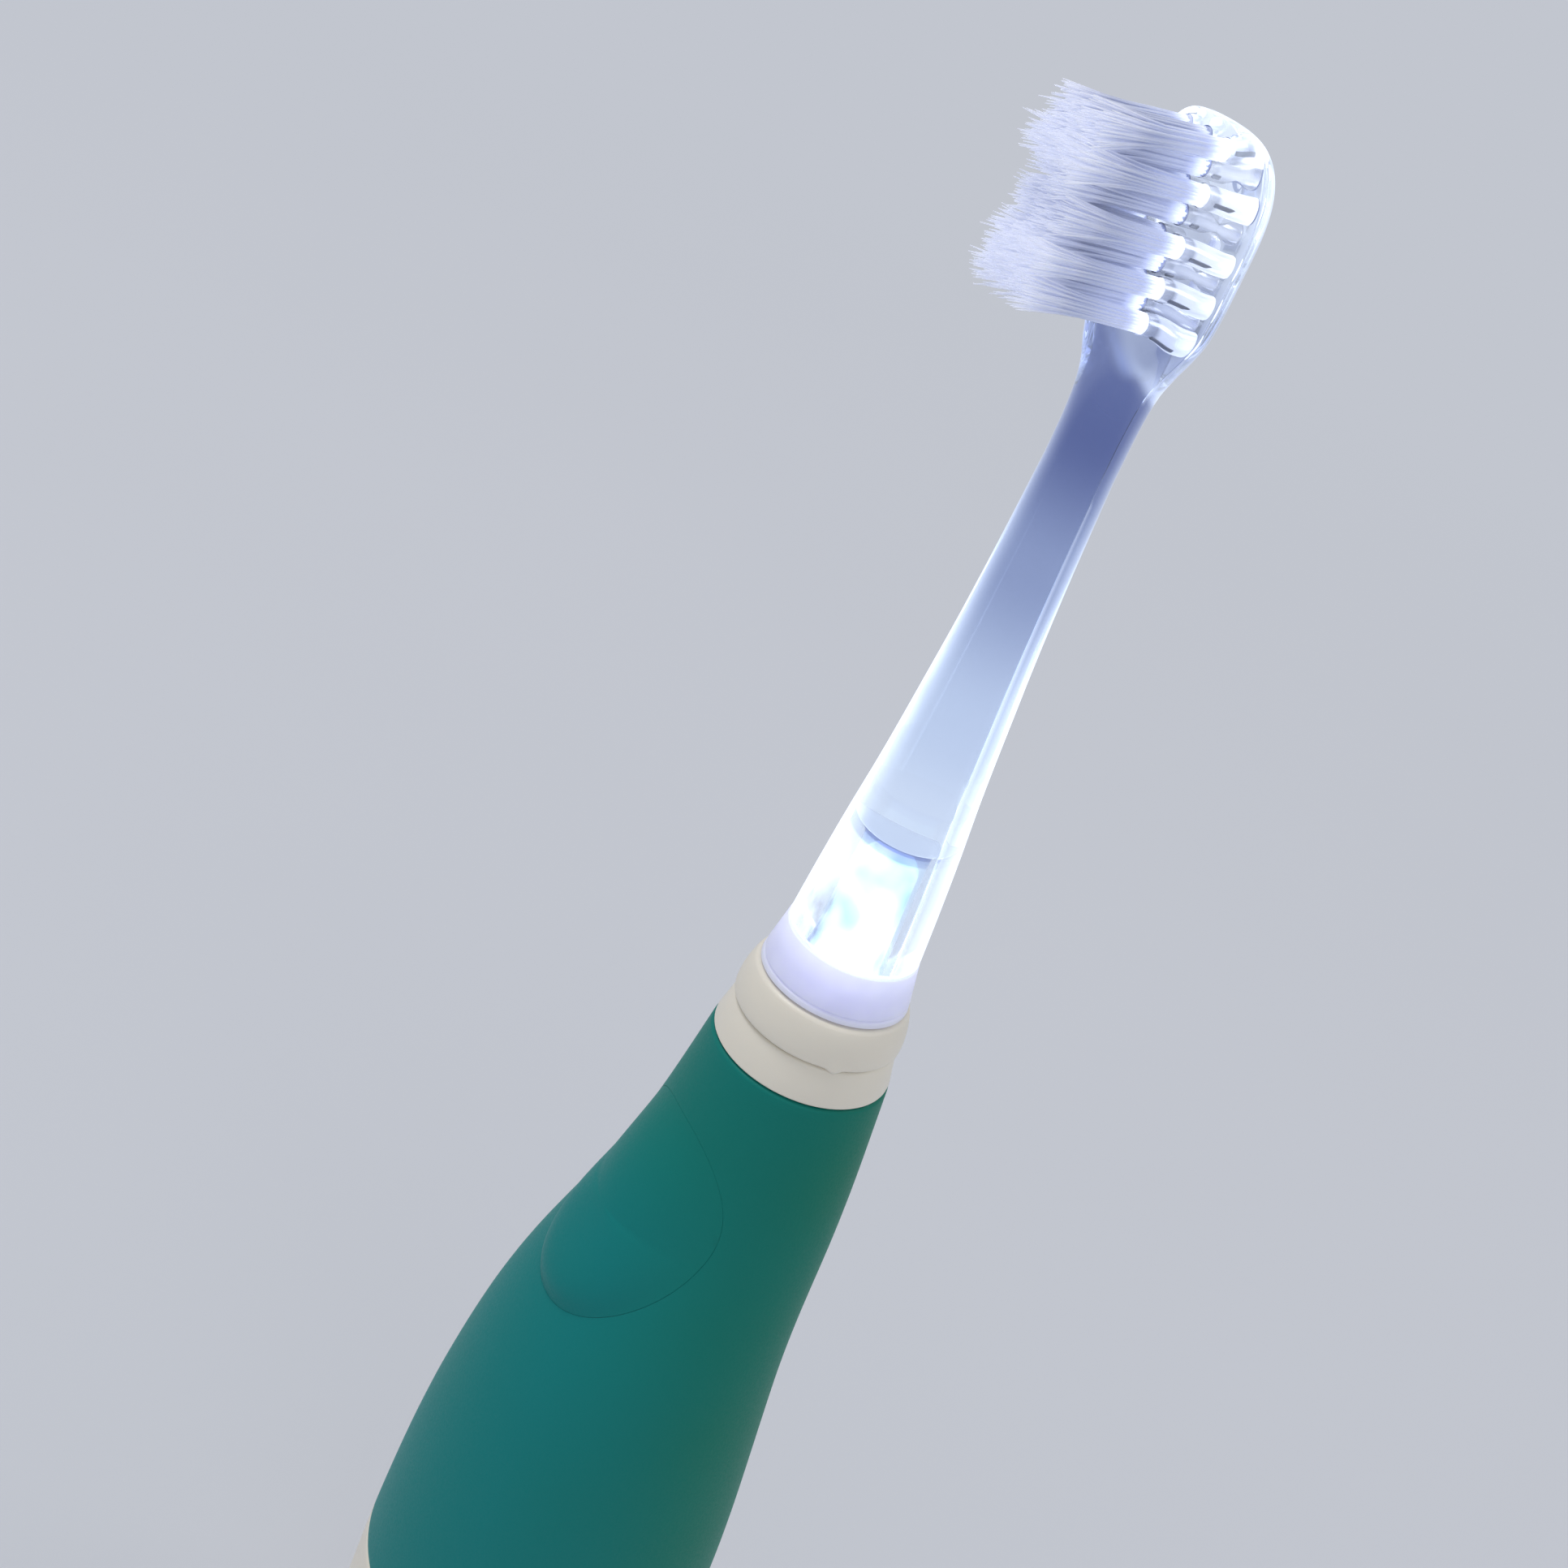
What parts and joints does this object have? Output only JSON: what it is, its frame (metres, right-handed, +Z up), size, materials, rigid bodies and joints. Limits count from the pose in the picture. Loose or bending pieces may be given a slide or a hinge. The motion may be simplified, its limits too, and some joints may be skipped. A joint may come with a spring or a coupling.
{
  "type": "electric toothbrush",
  "caption": "Small battery toothbrush with a thick soft-grip handle, a front power button, a two-step collar and a clear pull-off brush head lit by a lamp in the handle's nose.",
  "frame": {"origin": "on the face of the soft foot, straight under the axis of the neck", "axes": "+Z up the handle to the brush head, -Y towards the bristles and the power button, +X to the right of the button as a user looks at it"},
  "size_m": [0.0316, 0.0316, 0.1711],
  "materials": {
    "ivory_plastic": "satin",
    "teal_rubber": "satin",
    "grey_rubber": "matte",
    "plated_steel": "satin",
    "cell_wrap": "glossy",
    "frame_plastic": "matte",
    "circuit_board": "satin",
    "black_plastic": "matte",
    "wire_cover": "satin",
    "brass_parts": "satin",
    "clear_plastic": "glossy",
    "lamp_lens": "glossy",
    "sintered_weight": "matte",
    "nylon": "satin",
    "frosted_plastic": "satin"
  },
  "bodies": {
    "handle": {"handle_body": "ivory_plastic", "grip_sleeve": "teal_rubber", "nose_cap": "ivory_plastic", "nose_seal": "grey_rubber", "chassis": "frame_plastic", "positive_contact": "plated_steel", "negative_strip": "plated_steel", "main_board": "circuit_board", "control_chip": "black_plastic", "resistor_left": "black_plastic", "resistor_right": "black_plastic", "tact_switch": "black_plastic", "motor_lead_left": "wire_cover", "motor_lead_right": "wire_cover"},
    "button": {"power_button": "teal_rubber", "button_plunger": "ivory_plastic"},
    "switch": {"switch_stem": "brass_parts"},
    "rocker": {"motor_can": "plated_steel", "motor_end_cap": "black_plastic", "motor_terminal_left": "brass_parts", "motor_terminal_right": "brass_parts", "motor_cradle": "frame_plastic", "drive_stem": "plated_steel", "light_post": "clear_plastic", "led_lamp": "lamp_lens", "lamp_lead_left": "plated_steel", "lamp_lead_right": "plated_steel"},
    "rotor": {"motor_shaft": "plated_steel", "eccentric_weight": "sintered_weight"},
    "head": {"brush_neck": "clear_plastic", "bristle_tufts": "nylon", "head_ring": "frosted_plastic"},
    "battery": {"battery": "cell_wrap"},
    "cover": {"battery_cover": "ivory_plastic", "cover_o_ring": "grey_rubber", "cover_contact": "plated_steel", "negative_spring": "plated_steel", "base_pad": "teal_rubber"}
  },
  "joints": [
    {"name": "button_press", "type": "slide", "parent": "handle", "child": "button", "axis": [0, 1, 0], "range_m": [0, 0.0006], "stiffness_N_per_m": 900},
    {"name": "switch_press", "type": "slide", "parent": "handle", "child": "switch", "axis": [0, 1, 0], "range_m": [0, 0.0002]},
    {"name": "shaft_rock", "type": "hinge", "parent": "handle", "child": "rocker", "pos_m": [0, 0, 0.0963], "axis": [0, 1, 0], "range_deg": [-0.8, 0.8], "stiffness_Nm_per_rad": 0.6},
    {"name": "motor_spin", "type": "hinge", "parent": "rocker", "child": "rotor", "pos_m": [0, 0, 0.078], "axis": [0, 0, 1], "continuous": true},
    {"name": "head_pull", "type": "slide", "parent": "rocker", "child": "head", "axis": [0, 0, 1], "range_m": [0, 0.025]},
    {"name": "cover_pull", "type": "slide", "parent": "handle", "child": "cover", "axis": [0, 0, -1], "range_m": [0, 0.06]},
    {"name": "battery_out", "type": "slide", "parent": "handle", "child": "battery", "axis": [0, 0, -1], "range_m": [0, 0.051]}
  ],
  "couplings": [
    {"joint": "switch_press", "follows": "button_press", "ratio": 0.3},
    {"joint": "battery_out", "follows": "cover_pull", "ratio": 0.85}
  ]
}
